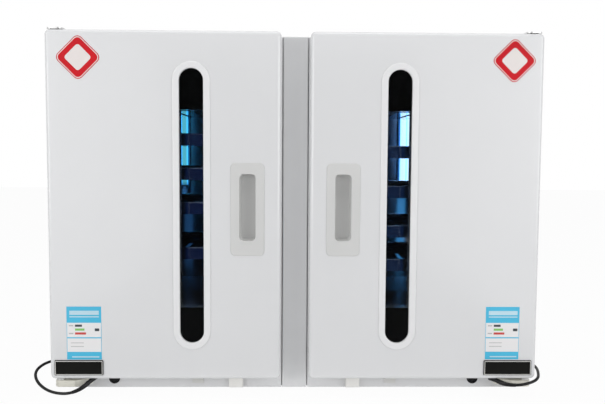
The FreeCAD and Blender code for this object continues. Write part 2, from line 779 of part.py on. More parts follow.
def door_form(inset, y0, y1):
    """Outer form of a door between two depths, with rounded corners."""
    return slab(
        DOOR_INNER + inset, DOOR_OUTER - inset, DOOR_FOOT + inset, DOOR_TOP - inset,
        DOOR_CORNER - inset, y0, y1,
    )


def door_skin():
    """Pressed outer sheet with soft front edges, and holes for the window, pull, pins and lead."""
    back = DOOR_BACK - SHEET
    outer = soften_face(door_form(0, DOOR_Y, back), DOOR_EDGE, DOOR_Y)
    inner = soften_face(door_form(SHEET, DOOR_Y + SHEET, back + 1), DOOR_EDGE - SHEET, DOOR_Y + SHEET)
    neck_wide = WINDOW_WIDTH + 2 * BEZEL_NECK
    neck_tall = WINDOW_TALL + 2 * BEZEL_NECK
    holes = [
        slab_about(WINDOW_X, WINDOW_Z, neck_wide, neck_tall, neck_wide / 2, DOOR_Y - 1, DOOR_Y + 3),
        pull_body(CLEAR, DOOR_Y - 1, DOOR_Y + 3),
        rod(PIN_X, PIN_Y, DOOR_FOOT - 1, BUSH_ROUND / 2, SHEET + 2),
        rod(PIN_X, PIN_Y, DOOR_TOP - SHEET - 1, BUSH_ROUND / 2, SHEET + 2),
        rod(DOOR_OUTER - BOOT_INSET, DOOR_Y + BOOT_BACK, DOOR_FOOT - 1, LEAD_ROUND / 2, SHEET + 2),
    ]
    return outer.cut(inner).cut(Part.makeCompound(holes))


def door_pan():
    """Inner sheet: flanged rim, a pressed field and a tunnel that meets the window glass."""
    back, t = DOOR_BACK, SHEET
    rim = door_form(PAN_INSET, back - PAN_FLANGE, back)
    hollow = door_form(PAN_INSET + t, back - PAN_FLANGE - 1, back - t)
    x0, x1 = DOOR_INNER + FIELD_MARGIN, DOOR_OUTER - FIELD_MARGIN
    z0, z1 = DOOR_FOOT + FIELD_MARGIN, DOOR_TOP - FIELD_MARGIN
    field_wall = slab(x0 - t, x1 + t, z0 - t, z1 + t, FIELD_CORNER + t, back - FIELD_DEEP - t, back - t)
    field = slab(x0, x1, z0, z1, FIELD_CORNER, back - FIELD_DEEP, back + 1)
    glass_back = DOOR_Y + BEZEL_DEEP + CLEAR
    tube = slab_about(
        WINDOW_X, TUNNEL_Z, WINDOW_WIDTH + 2 * t, TUNNEL_TALL + 2 * t,
        TUNNEL_CORNER + t, glass_back, back - FIELD_DEEP - t,
    )
    bore = slab_about(
        WINDOW_X, TUNNEL_Z, WINDOW_WIDTH, TUNNEL_TALL, TUNNEL_CORNER, DOOR_Y, back + 1
    )
    pan = rim.cut(hollow).fuse(field_wall).cut(field)
    return pan.fuse(tube).cut(bore).removeSplitter()


def window_bezel():
    """Racetrack ring with a soft crown, a neck through the skin and a rebate for the glass."""
    wide, tall = WINDOW_WIDTH + 2 * BEZEL_RING, WINDOW_TALL + 2 * BEZEL_RING
    front = DOOR_Y - BEZEL_PROUD
    crown = slab_about(WINDOW_X, WINDOW_Z, wide, tall, wide / 2, front, DOOR_Y)
    neck_wide = WINDOW_WIDTH + 2 * BEZEL_NECK - 0.2
    neck_tall = WINDOW_TALL + 2 * BEZEL_NECK - 0.2
    neck = slab_about(WINDOW_X, WINDOW_Z, neck_wide, neck_tall, neck_wide / 2, DOOR_Y, DOOR_Y + BEZEL_DEEP)
    bore = slab_about(
        WINDOW_X, WINDOW_Z, WINDOW_WIDTH, WINDOW_TALL, WINDOW_WIDTH / 2, front - 1, DOOR_Y + BEZEL_DEEP + 1
    )
    ring = soften_face(crown.cut(bore), BEZEL_PROUD - 0.5, front)
    return ring.fuse(neck.cut(bore)).cut(window_glass(0)).removeSplitter()


def window_glass(play=0.1):
    wide = WINDOW_WIDTH + BEZEL_NECK - 2 * play
    tall = WINDOW_TALL + BEZEL_NECK - 2 * play
    back = DOOR_Y + BEZEL_DEEP
    return slab_about(WINDOW_X, WINDOW_Z, wide, tall, wide / 2, back - GLASS_THICK, back)


def pull_body(grow, y0, y1):
    """Outside of the pull's cup, wider on the side that the fingers hook behind."""
    half = PULL_MOUTH / 2 + PULL_WALL + grow
    tall = PULL_MOUTH_TALL / 2 + PULL_WALL + grow
    corner = PULL_MOUTH_CORNER + PULL_WALL + grow
    return slab(
        PULL_X - half - PULL_HOOK, PULL_X + half, MOUTH_Z - tall, MOUTH_Z + tall, corner, y0, y1
    )


def pull_cup():
    """Recessed pull: a flange on the skin, a tapered cup and a finger hook behind the flange."""
    front = DOOR_Y - PULL_PROUD
    back = DOOR_Y + PULL_DEEP
    flange = slab_about(PULL_X, PULL_Z, PULL_WIDTH, PULL_TALL, PULL_CORNER, front, DOOR_Y)
    flange = soften_face(flange, PULL_PROUD - 0.5, front)
    cup = pull_body(0, DOOR_Y, back)
    x0, x1 = PULL_X - PULL_MOUTH / 2, PULL_X + PULL_MOUTH / 2
    z0, z1 = MOUTH_Z - PULL_MOUTH_TALL / 2, MOUTH_Z + PULL_MOUTH_TALL / 2
    d = PULL_DRAFT
    floor = back - PULL_WALL
    mouth = rounded_rect(x0, x1, z0, z1, PULL_MOUTH_CORNER, front - 1)
    deep_end = rounded_rect(x0, x1 - d, z0 + d, z1 - d, PULL_MOUTH_CORNER - d / 2, floor)
    taper = Part.makeLoft([mouth, deep_end], True)
    hook = slab(
        x0 - PULL_HOOK, PULL_X, z0 + d, z1 - d, PULL_MOUTH_CORNER - d / 2, DOOR_Y + PULL_WALL, floor
    )
    return flange.fuse(cup).cut(taper.fuse(hook))


def door_gasket():
    """Magnetic seal: a base strip on the pan, a thin bellows and a wider head."""
    top, foot = DOOR_TOP - GASKET_END, DOOR_FOOT + GASKET_END
    inner_edge, outer_edge = DOOR_INNER + GASKET_END, DOOR_OUTER - GASKET_INSET

    def ring(inset, y0, y1):
        width = GASKET_WIDTH - 2 * inset
        r = GASKET_CORNER - inset
        outside = slab(inner_edge + inset, outer_edge - inset, foot + inset, top - inset, r, y0, y1)
        g = inset + width
        inside = slab(
            inner_edge + g, outer_edge - g, foot + g, top - g, max(r - width, 1), y0 - 1, y1 + 1
        )
        return outside.cut(inside)

    head = FACE_Y - CLEAR
    mid = DOOR_BACK + 1.6
    parts = [ring(0, DOOR_BACK, mid), ring(3, mid, head - 2.4), ring(0.5, head - 2.4, head)]
    return parts[0].fuse(parts[1:])


def hinge_bushes():
    """Flanged sleeves in the door's top and bottom, on the pins."""
    bore = PIN_ROUND / 2 + PIN_PLAY
    deep = PIN_IN_DOOR + 2
    upper = rod(PIN_X, PIN_Y, DOOR_TOP - deep, BUSH_ROUND / 2, deep).fuse(
        rod(PIN_X, PIN_Y, DOOR_TOP, BUSH_FLANGE / 2, BUSH_FLANGE_TOP)
    )
    lower = rod(PIN_X, PIN_Y, DOOR_FOOT, BUSH_ROUND / 2, deep).fuse(
        rod(PIN_X, PIN_Y, DOOR_FOOT - BUSH_FLANGE_FOOT, BUSH_FLANGE / 2, BUSH_FLANGE_FOOT)
    )
    hole = rod(PIN_X, PIN_Y, DOOR_FOOT - 10, bore, DOOR_HEIGHT + 20)
    return Part.makeCompound([upper.cut(hole), lower.cut(hole)])


def name_plate():
    """Blank plate with a bevelled rim round a sunk field."""
    z = DOOR_FOOT + NAME_LIFT + NAME_TALL / 2
    front = DOOR_Y - NAME_THICK
    plate = slab_about(NAME_X, z, NAME_WIDTH, NAME_TALL, 2, front, DOOR_Y)
    plate = soften_face(plate, 1.2, front)
    field = slab_about(
        NAME_X, z, NAME_WIDTH - 2 * NAME_RIM, NAME_TALL - 2 * NAME_RIM, 1, front - 1, front + 1
    )
    return plate.cut(field)


# Leads


def route_points(side):
    route = RIGHT_ROUTE if side > 0 else LEFT_ROUTE
    return [V(side * (DOOR_OUTER + out), DOOR_Y + back, DOOR_FOOT + up) for out, back, up in route]


def unit(a, b):
    step = b - a
    return step.normalize()


def gland_corner(side):
    """Where the gland's arm meets its boss, in line with the lead's last run."""
    before, tip = route_points(side)[-2:]
    return tip + unit(before, tip) * GLAND_ARM


def side_gland(side):
    """Elbow gland: a boss on the side sheet and an arm that holds the lead's end."""
    corner = gland_corner(side)
    tip = route_points(side)[-1]
    radius = GLAND_ROUND / 2
    boss = rod(side * CAB_X, corner.y, corner.z, radius, abs(corner.x) - CAB_X, V(side, 0, 0))
    arm = Part.makeCone(radius - 0.5, LEAD_ROUND / 2 + 1, GLAND_ARM, corner, unit(corner, tip))
    return boss.fuse([arm, Part.makeSphere(radius, corner)])


def lead_boot(side):
    """Tapered rubber boot under the door, in line with the lead's first run."""
    start, after = route_points(side)[:2]
    heading = unit(start, after)
    root = start - heading * (BOOT_LONG + 6)
    cone = Part.makeCone(BOOT_ROUND / 2 + 0.6, BOOT_TIP / 2, BOOT_LONG + 6, root, heading)
    above = box(-DOOR_OUTER, DOOR_OUTER, DOOR_Y, DOOR_BACK, DOOR_FOOT, DOOR_FOOT + 2 * BOOT_LONG)
    flange = rod(
        side * (DOOR_OUTER - BOOT_INSET), DOOR_Y + BOOT_BACK, DOOR_FOOT - 2, BOOT_ROUND / 2 + 2, 2
    )
    return cone.cut(above).fuse(flange)


def door_lead(side):
    """Round lead along straight runs joined by tangent arcs."""
    points = route_points(side)
    edges, radii, length = [], [], 0.0
    at = points[0]
    for before, point, after in zip(points, points[1:], points[2:]):
        come, go = unit(before, point), unit(point, after)
        half = come.getAngle(go) / 2
        room = 0.45 * min((point - before).Length, (after - point).Length)
        radius = room / math.tan(half)
        start, end = point - come * room, point + go * room
        centre = point + (go - come).normalize() * (radius / math.cos(half))
        middle = centre + (point - centre).normalize() * radius
        edges += [Part.LineSegment(at, start).toShape(), Part.Arc(start, middle, end).toShape()]
        radii.append(radius)
        at = end
    edges.append(Part.LineSegment(at, points[-1]).toShape())
    path = Part.Wire(edges)
    ring = Part.Wire(Part.makeCircle(LEAD_ROUND / 2, points[0], unit(points[0], points[1])))
    tube = path.makePipeShell([ring], True, False)
    section = math.pi * LEAD_ROUND**2 / 4
    print(
        f"lead at {side}: length {path.Length:.1f}, radii {min(radii):.1f} to {max(radii):.1f},"
        f" volume over section times length {tube.Volume / (section * path.Length):.4f}"
    )
    return tube


def save(name, shape):
    if not shape.isValid():
        print(f"{name} isn't valid")
    shape.exportStep(f"parts/{name}.step")


def main():
    os.makedirs("parts", exist_ok=True)
    cabinet = {
        "outer_shell": outer_shell(),
        "back_panel": back_panel(),
        "base_pan": base_pan(),
        "front_frame_right": front_frame(),
        "front_frame_left": mirrored(front_frame()),
        "centre_strip": centre_strip(),
        "centre_post": centre_post(),
        "chamber_liner_right": chamber_liner(),
        "chamber_liner_left": mirrored(chamber_liner()),
        "shelf_racks": shelf_racks(),
        "rack_studs": rack_studs(),
        "shelf_trays": shelf_trays(),
        "lowest_tray_right": lowest_tray(1),
        "lowest_tray_left": mirrored(lowest_tray(-1)),
        "lamp_trays": lamp_trays(),
        "lamp_holders": lamp_holders(),
        "uv_tubes": uv_tubes(),
        "tube_caps": tube_caps(),
        "ballasts": ballasts(),
        "terminal_block": terminal_block(),
        "mains_inlet": mains_inlet(),
        "foot_pads": foot_pads(),
        "top_hinge_right": top_hinge(),
        "top_hinge_left": mirrored(top_hinge()),
        "bottom_hinge_right": bottom_hinge(),
        "bottom_hinge_left": mirrored(bottom_hinge()),
        "pin_washers": pin_washers(),
        "switch_bezels": switch_bezels(),
        "switch_rocker_right": switch_rocker(),
        "switch_rocker_left": mirrored(switch_rocker()),
        "door_contacts": door_contacts(),
        "door_skids": door_skids(),
        "side_gland_right": side_gland(1),
        "side_gland_left": side_gland(-1),
        "door_lead_right": door_lead(1),
        "door_lead_left": door_lead(-1),
        "lead_boot_right": lead_boot(1),
        "lead_boot_left": lead_boot(-1),
    }
    for name, shape in cabinet.items():
        save(name, shape)
    door = {
        "door_skin": door_skin(),
        "door_pan": door_pan(),
        "window_bezel": window_bezel(),
        "window_glass": window_glass(),
        "pull_cup": pull_cup(),
        "door_gasket": door_gasket(),
        "hinge_bushes": hinge_bushes(),
        "name_plate": name_plate(),
        "contact_magnet": contact_magnet(),
    }
    for name, shape in door.items():
        save(f"{name}_right", shape)
        save(f"{name}_left", mirrored(shape))


main()
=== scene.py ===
"""Ultraviolet sterilizer cabinet with two mirrored doors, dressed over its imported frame, in metres."""

import bmesh
import bpy
import math
from mathutils import Matrix, Vector


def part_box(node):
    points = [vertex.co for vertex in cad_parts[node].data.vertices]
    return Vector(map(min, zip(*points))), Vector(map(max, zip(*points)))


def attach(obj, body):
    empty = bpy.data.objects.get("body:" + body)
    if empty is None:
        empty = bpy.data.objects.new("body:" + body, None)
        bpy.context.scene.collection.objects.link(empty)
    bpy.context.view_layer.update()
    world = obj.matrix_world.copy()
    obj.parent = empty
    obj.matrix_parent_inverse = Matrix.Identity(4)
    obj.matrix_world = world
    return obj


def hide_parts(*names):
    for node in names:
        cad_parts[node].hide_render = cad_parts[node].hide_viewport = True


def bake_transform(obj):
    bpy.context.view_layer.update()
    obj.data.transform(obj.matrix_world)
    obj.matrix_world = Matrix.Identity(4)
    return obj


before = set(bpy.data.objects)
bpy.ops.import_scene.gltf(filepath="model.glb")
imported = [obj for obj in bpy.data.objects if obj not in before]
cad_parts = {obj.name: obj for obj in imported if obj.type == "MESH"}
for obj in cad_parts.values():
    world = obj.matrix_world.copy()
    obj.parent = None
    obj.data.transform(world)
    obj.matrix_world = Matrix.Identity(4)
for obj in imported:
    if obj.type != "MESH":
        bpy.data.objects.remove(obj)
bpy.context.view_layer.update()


# Camera: a tripod 1.4 m in front of the doors, its lens a little above their middle, so that the
# bottom rail shows below the doors and the cabinet's top doesn't.

scene = bpy.context.scene
scene.view_settings.view_transform = "Standard"
camera = bpy.data.objects.new("camera", bpy.data.cameras.new("camera"))
scene.collection.objects.link(camera)
camera.data.sensor_width = 36.0
camera.data.lens = 41.65
camera.matrix_world = (
    Matrix.Translation((-0.0141, -1.6239, 0.4987))
    @ Matrix.Rotation(math.radians(-1.158), 4, "Z")
    @ Matrix.Rotation(math.radians(90 - 4.064), 4, "X")
    @ Matrix.Rotation(math.radians(0.357), 4, "Z")
)
scene.camera = camera


# Studio: a white room with soft boxes beyond the front corners and one overhead. The floor and the
# backdrop are plain white to the camera, and the floor keeps the cabinet's shadow.

def white_to_the_eye(tree):
    """One where a ray comes straight from the camera, a mirror or a pane, and nought elsewhere."""
    path = tree.nodes.new("ShaderNodeLightPath")
    seen = path.outputs["Is Camera Ray"]
    for kind in ("Is Glossy Ray", "Is Transmission Ray"):
        either = tree.nodes.new("ShaderNodeMath")
        either.operation = "MAXIMUM"
        tree.links.new(seen, either.inputs[0])
        tree.links.new(path.outputs[kind], either.inputs[1])
        seen = either.outputs[0]
    return seen


room = bpy.data.worlds.new("white_room")
scene.world = room
room.use_nodes = True
room_tree = room.node_tree
room_light = room_tree.nodes["Background"]
room_light.inputs["Color"].default_value = (0.97, 0.98, 1.0, 1)
room_light.inputs["Strength"].default_value = 0.34
room_wall = room_tree.nodes.new("ShaderNodeBackground")
room_wall.inputs["Color"].default_value = (1, 1, 1, 1)
room_wall.inputs["Strength"].default_value = 1.0
room_mix = room_tree.nodes.new("ShaderNodeMixShader")
room_tree.links.new(white_to_the_eye(room_tree), room_mix.inputs["Fac"])
room_tree.links.new(room_light.outputs[0], room_mix.inputs[1])
room_tree.links.new(room_wall.outputs[0], room_mix.inputs[2])
room_tree.links.new(room_mix.outputs[0], room_tree.nodes["World Output"].inputs["Surface"])

floor_paper = bpy.data.materials.new("floor_paper")
floor_paper.use_nodes = True
paper_tree = floor_paper.node_tree
paper = paper_tree.nodes["Principled BSDF"]
paper.inputs["Base Color"].default_value = (0.9, 0.9, 0.9, 1)
paper.inputs["Roughness"].default_value = 0.9
paper_glow = paper_tree.nodes.new("ShaderNodeEmission")
paper_share = paper_tree.nodes.new("ShaderNodeMath")
paper_share.operation = "MULTIPLY"
paper_share.inputs[1].default_value = 0.96
paper_mix = paper_tree.nodes.new("ShaderNodeMixShader")
paper_tree.links.new(white_to_the_eye(paper_tree), paper_share.inputs[0])
paper_tree.links.new(paper_share.outputs[0], paper_mix.inputs["Fac"])
paper_tree.links.new(paper.outputs[0], paper_mix.inputs[1])
paper_tree.links.new(paper_glow.outputs[0], paper_mix.inputs[2])
paper_tree.links.new(paper_mix.outputs[0], paper_tree.nodes["Material Output"].inputs["Surface"])

floor_bm = bmesh.new()
floor_low = Matrix.Translation((0, 0, -0.0006))
bmesh.ops.create_grid(floor_bm, x_segments=1, y_segments=1, size=8.0, matrix=floor_low)
floor_mesh = bpy.data.meshes.new("floor")
floor_bm.to_mesh(floor_mesh)
floor_bm.free()
floor_mesh.materials.append(floor_paper)
floor = bpy.data.objects.new("floor", floor_mesh)
scene.collection.objects.link(floor)

for name, place, aim, width, watts in (
    ("soft_box_left", (-2.2, -2.4, 0.85), (-0.3, 0, 0.35), 1.6, 27),
    ("soft_box_right", (2.2, -2.4, 0.85), (0.3, 0, 0.35), 1.6, 27),
    ("soft_box_top", (0, -0.5, 3.0), (0, 0, 0.4), 2.4, 28),
):
    lamp = bpy.data.lights.new(name, "AREA")
    lamp.size = width
    lamp.energy = watts
    soft_box = bpy.data.objects.new(name, lamp)
    scene.collection.objects.link(soft_box)
    soft_box.location = place
    soft_box.rotation_euler = (Vector(aim) - Vector(place)).to_track_quat("-Z", "Y").to_euler()

# Black cards behind the camera and on the floor keep the panes dark. Only mirrors and panes see them.
card_bm = bmesh.new()
bmesh.ops.create_grid(
    card_bm, x_segments=1, y_segments=1, size=0.75,
    matrix=Matrix.Translation((0, -2.9, 0.35)) @ Matrix.Rotation(math.radians(90), 4, "X"),
)
bmesh.ops.create_grid(
    card_bm, x_segments=1, y_segments=1, size=0.5,
    matrix=Matrix.Translation((0, -1.63, 0.001)) @ Matrix.Diagonal((1.3, 2.54, 1, 1)),
)
card_mesh = bpy.data.meshes.new("black_cards")
card_bm.to_mesh(card_mesh)
card_bm.free()
card_black = bpy.data.materials.new("card_black")
card_black.use_nodes = True
card_black.node_tree.nodes["Principled BSDF"].inputs["Base Color"].default_value = (0.005, 0.005, 0.005, 1)
card_mesh.materials.append(card_black)
black_cards = bpy.data.objects.new("black_cards", card_mesh)
scene.collection.objects.link(black_cards)
black_cards.visible_camera = False
black_cards.visible_diffuse = False
black_cards.visible_shadow = False


# Leads: limp round cables in a black rubber sheath, which carry each door's wiring round its hinge.
# Each runs from a boot under the door to an elbow gland on the cabinet's side.

def finish_of(
    name, colour, roughness, metallic=0.0, drift=0.03, grain=500.0, depth=0.00002, along=(1, 1, 1), shine=0.5
):
    """A finish whose colour and gloss drift a little, with a fine grain that may run one way."""
    material = bpy.data.materials.new(name)
    material.use_nodes = True
    nodes, links = material.node_tree.nodes, material.node_tree.links
    shader = nodes["Principled BSDF"]
    shader.inputs["Metallic"].default_value = metallic
    shader.inputs["Specular IOR Level"].default_value = shine
    where = nodes.new("ShaderNodeTexCoord")
    lie = nodes.new("ShaderNodeMapping")
    lie.inputs["Scale"].default_value = along
    links.new(where.outputs["Object"], lie.inputs["Vector"])
    cloud = nodes.new("ShaderNodeTexNoise")
    cloud.inputs["Scale"].default_value = 9.0
    cloud.inputs["Detail"].default_value = 4.0
    links.new(lie.outputs["Vector"], cloud.inputs["Vector"])
    tint = nodes.new("ShaderNodeValToRGB")
    tint.color_ramp.elements[0].position = 0.3
    tint.color_ramp.elements[1].position = 0.7
    tint.color_ramp.elements[0].color = (*[c * (1 - drift) for c in colour], 1)
    tint.color_ramp.elements[1].color = (*[min(1, c * (1 + drift)) for c in colour], 1)
    links.new(cloud.outputs["Fac"], tint.inputs["Fac"])
    links.new(tint.outputs["Color"], shader.inputs["Base Color"])
    fine = nodes.new("ShaderNodeTexNoise")
    fine.inputs["Scale"].default_value = grain
    fine.inputs["Detail"].default_value = 3.0
    links.new(lie.outputs["Vector"], fine.inputs["Vector"])
    gloss = nodes.new("ShaderNodeMapRange")
    gloss.inputs["To Min"].default_value = roughness * 0.8
    gloss.inputs["To Max"].default_value = roughness * 1.2
    links.new(fine.outputs["Fac"], gloss.inputs["Value"])
    links.new(gloss.outputs["Result"], shader.inputs["Roughness"])
    relief = nodes.new("ShaderNodeBump")
    relief.inputs["Strength"].default_value = 1.0
    relief.inputs["Distance"].default_value = depth
    links.new(fine.outputs["Fac"], relief.inputs["Height"])
    links.new(relief.outputs["Normal"], shader.inputs["Normal"])
    return material


def dress(finish, *nodes):
    """Gives a finish to nodes of the frame."""
    for node in nodes:
        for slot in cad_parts[node].material_slots:
            slot.material = finish


lead_rubber = finish_of(
    "lead_rubber", (0.006, 0.006, 0.0065), 0.28, drift=0.25, grain=900, depth=0.00003, shine=0.22
)
lead_diameter = 0.006
left_route = (
    (-0.4200, -0.2167, 0.0271), (-0.4270, -0.2250, 0.0215), (-0.4390, -0.2310, 0.0150),
    (-0.4555, -0.2330, 0.0100), (-0.4755, -0.2300, 0.0087), (-0.4970, -0.2210, 0.0100),
    (-0.5160, -0.2100, 0.0150), (-0.5310, -0.1980, 0.0230), (-0.5395, -0.1860, 0.0330),
    (-0.5390, -0.1750, 0.0415), (-0.5310, -0.1630, 0.0480), (-0.5200, -0.1505, 0.0510),
    (-0.5105, -0.1390, 0.0510),
)
right_route = (
    (0.4200, -0.2176, 0.0300), (0.4275, -0.2260, 0.0280), (0.4395, -0.2320, 0.0270),
    (0.4535, -0.2340, 0.0270), (0.4680, -0.2340, 0.0285), (0.4825, -0.2320, 0.0315),
    (0.4955, -0.2270, 0.0350), (0.5040, -0.2170, 0.0385), (0.5085, -0.2040, 0.0415),
    (0.5120, -0.1900, 0.0440), (0.5140, -0.1760, 0.0455), (0.5135, -0.1630, 0.0465),
    (0.5105, -0.1510, 0.0465), (0.5065, -0.1415, 0.0465),
)
sleeve_long, sleeve_root, sleeve_tip = 0.038, 0.0100, 0.0068


def swept(name, route, radius):
    """Mesh of a round cable along a smooth line near the route's points, or of the line alone."""
    curve = bpy.data.curves.new(name, "CURVE")
    curve.dimensions = "3D"
    spline = curve.splines.new("NURBS")
    spline.points.add(len(route) - 1)
    for knot, point in zip(spline.points, route):
        knot.co = (*point, 1)
    spline.order_u = 3
    spline.use_endpoint_u = True
    spline.resolution_u = 10
    curve.bevel_depth = radius
    curve.bevel_resolution = 5
    curve.use_fill_caps = radius > 0
    holder = bpy.data.objects.new(name, curve)
    mesh = bpy.data.meshes.new_from_object(holder)
    bpy.data.objects.remove(holder)
    return mesh


def tapered(name, points, root, tip):
    """Mesh of a sleeve along points, its diameter going from the root's to the tip's."""
    curve = bpy.data.curves.new(name, "CURVE")
    curve.dimensions = "3D"
    spline = curve.splines.new("POLY")
    spline.points.add(len(points) - 1)
    for k, (knot, point) in enumerate(zip(spline.points, points)):
        share = k / (len(points) - 1)
        knot.co = (*point, 1)
        knot.radius = root + (tip - root) * share
    curve.bevel_depth = 0.5
    curve.bevel_resolution = 6
    curve.use_fill_caps = True
    holder = bpy.data.objects.new(name, curve)
    mesh = bpy.data.meshes.new_from_object(holder)
    bpy.data.objects.remove(holder)
    return mesh


for side, route, length in (("left", left_route, 0.209), ("right", right_route, 0.174)):
    middle_line = [v.co.copy() for v in swept(f"line_{side}", route, 0).vertices]
    run, sleeve_line = 0.0, [middle_line[0]]
    for before, point in zip(middle_line, middle_line[1:]):
        run += (point - before).length
        if run > sleeve_long:
            break
        sleeve_line.append(point)
    for name, mesh in (
        (f"rubber_lead_{side}", swept(f"rubber_lead_{side}", route, lead_diameter / 2)),
        (f"lead_sleeve_{side}", tapered(f"lead_sleeve_{side}", sleeve_line, sleeve_root, sleeve_tip)),
    ):
        mesh.materials.clear()
        mesh.materials.append(lead_rubber)
        mesh.shade_smooth()
        piece = bpy.data.objects.new(name, mesh)
        scene.collection.objects.link(piece)
        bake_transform(piece)
    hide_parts(f"door_lead_{side}")
dress(lead_rubber, "side_gland_right", "side_gland_left", "lead_boot_right", "lead_boot_left")


# Casework: sheet steel, folded and sprayed with white gloss. The wrap, the face frames, the strip
# between them and the base tray are one colour, and the paint has a faint orange peel.

paint_white = (0.775, 0.778, 0.785)
white_gloss = finish_of("white_gloss", paint_white, 0.22, drift=0.008, grain=260, depth=0.000012)
white_gloss.node_tree.nodes["Principled BSDF"].inputs["Coat Weight"].default_value = 0.3
white_gloss.node_tree.nodes["Principled BSDF"].inputs["Coat Roughness"].default_value = 0.08
dress(
    white_gloss, "outer_shell", "back_panel", "base_pan", "front_frame_right", "front_frame_left",
    "centre_strip", "centre_post",
)

pad_rubber = finish_of("pad_rubber", (0.02, 0.02, 0.02), 0.7, drift=0.2, grain=700, depth=0.0001)
dress(pad_rubber, "foot_pads")


# Rear screws: zinc plated pan heads with a socket, which hold the back panel to the wrap's folded
# edge. The panel comes off to reach the ballasts.

def settle(name, bm, finishes, body):
    """Turns a finished bmesh into a piece that rides on a body."""
    mesh = bpy.data.meshes.new(name)
    bm.to_mesh(mesh)
    bm.free()
    for finish in finishes:
        mesh.materials.append(finish)
    mesh.shade_smooth()
    mesh.set_sharp_from_angle(angle=math.radians(32))
    piece = bpy.data.objects.new(name, mesh)
    scene.collection.objects.link(piece)
    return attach(piece, body)


def join(bm, part):
    """Adds a finished bmesh to another one."""
    loose = bpy.data.meshes.new("loose")
    part.to_mesh(loose)
    part.free()
    bm.from_mesh(loose)
    bpy.data.meshes.remove(loose)


def screw(bm, at, facing, radius=0.0032, height=0.002):
    """Adds a pan head with a socket to a bmesh, seated at a point and facing a direction."""
    head = bmesh.new()
    bmesh.ops.create_cone(
        head, cap_ends=True, segments=16, radius1=radius, radius2=radius * 0.85, depth=height,
        matrix=Matrix.Translation((0, 0, height / 2)),
    )
    lid = max(head.faces, key=lambda face: face.calc_center_median().z)
    bmesh.ops.bevel(
        head, geom=lid.edges[:], offset=height * 0.35, segments=2, profile=0.5, affect="EDGES", material=-1
    )
    lid = max(head.faces, key=lambda face: face.calc_center_median().z)
    bmesh.ops.inset_individual(head, faces=[lid], thickness=radius * 0.25)
    bmesh.ops.inset_individual(head, faces=[lid], thickness=radius * 0.03, depth=-height * 0.55)
    turn = Vector((0, 0, 1)).rotation_difference(Vector(facing)).to_matrix().to_4x4()
    bmesh.ops.transform(head, matrix=Matrix.Translation(at) @ turn, verts=head.verts)
    join(bm, head)


screw_steel = finish_of("screw_steel", (0.55, 0.55, 0.56), 0.32, metallic=1.0, drift=0.08, grain=1500)
panel_low, panel_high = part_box("back_panel")
rear_screws = bmesh.new()
margin, columns, rows = 0.010, 6, 3
for k in range(columns):
    x = panel_low.x + margin + k * (panel_high.x - panel_low.x - 2 * margin) / (columns - 1)
    for z in (panel_low.z + margin, panel_high.z - margin):
        screw(rear_screws, (x, panel_high.y, z), (0, 1, 0))
for k in range(1, rows + 1):
    z = panel_low.z + margin + k * (panel_high.z - panel_low.z - 2 * margin) / (rows + 1)
    for x in (panel_low.x + margin, panel_high.x - margin):
        screw(rear_screws, (x, panel_high.y, z), (0, 1, 0))
settle("rear_screws", rear_screws, [screw_steel], "cabinet")


# Mains inlet and the electrical pieces: moulded black plastic, and two painted ballasts beside a
# terminal strip on the base tray.

moulding_black = finish_of(
    "moulding_black", (0.008, 0.008, 0.009), 0.4, drift=0.12, grain=1800, depth=0.00003, shine=0.2
)
dress(moulding_black, "mains_inlet", "terminal_block")
ballast_grey = finish_of("ballast_grey", (0.24, 0.25, 0.26), 0.5, drift=0.05, grain=600)
dress(ballast_grey, "ballasts")

inlet_low, inlet_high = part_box("mains_inlet")
inlet_screws = bmesh.new()
inlet_ear = 0.005
inlet_z = (inlet_low.z + inlet_high.z) / 2
for x in (inlet_low.x + inlet_ear, inlet_high.x - inlet_ear):
    screw(inlet_screws, (x, inlet_high.y, inlet_z), (0, 1, 0), radius=0.0026, height=0.0012)
settle("inlet_screws", inlet_screws, [screw_steel], "cabinet")


# Chambers: stainless sheet brushed from side to side, welded to a box, with strips and studs for the
# shelf trays. The brushing draws the lamps' light out up and down the walls.

def brush(finish, spread):
    """Draws out a metal's shine across its brush lines, which lie level."""
    nodes, links = finish.node_tree.nodes, finish.node_tree.links
    level = nodes.new("ShaderNodeTangent")
    level.direction_type = "RADIAL"
    level.axis = "Z"
    links.new(level.outputs["Tangent"], nodes["Principled BSDF"].inputs["Tangent"])
    nodes["Principled BSDF"].inputs["Anisotropic"].default_value = spread
    nodes["Principled BSDF"].inputs["Anisotropic Rotation"].default_value = 0.25


stainless = finish_of(
    "brushed_stainless", (0.38, 0.40, 0.43), 0.36, metallic=1.0, drift=0.05, grain=420, depth=0.00001,
    along=(0.05, 1, 1),
)
brush(stainless, 1.0)
dress(stainless, "chamber_liner_right", "chamber_liner_left", "shelf_racks", "rack_studs")


# Shelf trays: shallow pans pressed from polished stainless sheet, slotted for drainage. The lip's edge
# is rolled over into a bead all round.

polished = finish_of(
    "polished_stainless", (0.74, 0.77, 0.80), 0.06, metallic=1.0, drift=0.06, grain=70, depth=0.0012,
    along=(0.06, 1, 1),
)
dress(polished, "shelf_trays", "lowest_tray_right", "lowest_tray_left")
bead_metal = finish_of("bead_metal", (0.80, 0.82, 0.84), 0.2, metallic=1.0, drift=0.05, grain=300)
bead_round, bead_corner, bead_over = 0.0034, 0.006, 0.0008
bead_bevel, bead_sink = bead_round * 0.48, bead_round * 0.7
tray_lip, sharp_turn = 0.025, 1.2


def sheet_shape(bm, width, height, corner):
    """A flat rectangle with rounded corners, facing up, as a list of its one face."""
    verts = bmesh.ops.create_grid(bm, x_segments=1, y_segments=1, size=0.5)["verts"]
    bmesh.ops.scale(bm, vec=(width, height, 1), verts=verts)
    bmesh.ops.bevel(bm, geom=verts, offset=corner, segments=6, profile=0.5, affect="VERTICES", material=-1)
    return bm.faces[:]


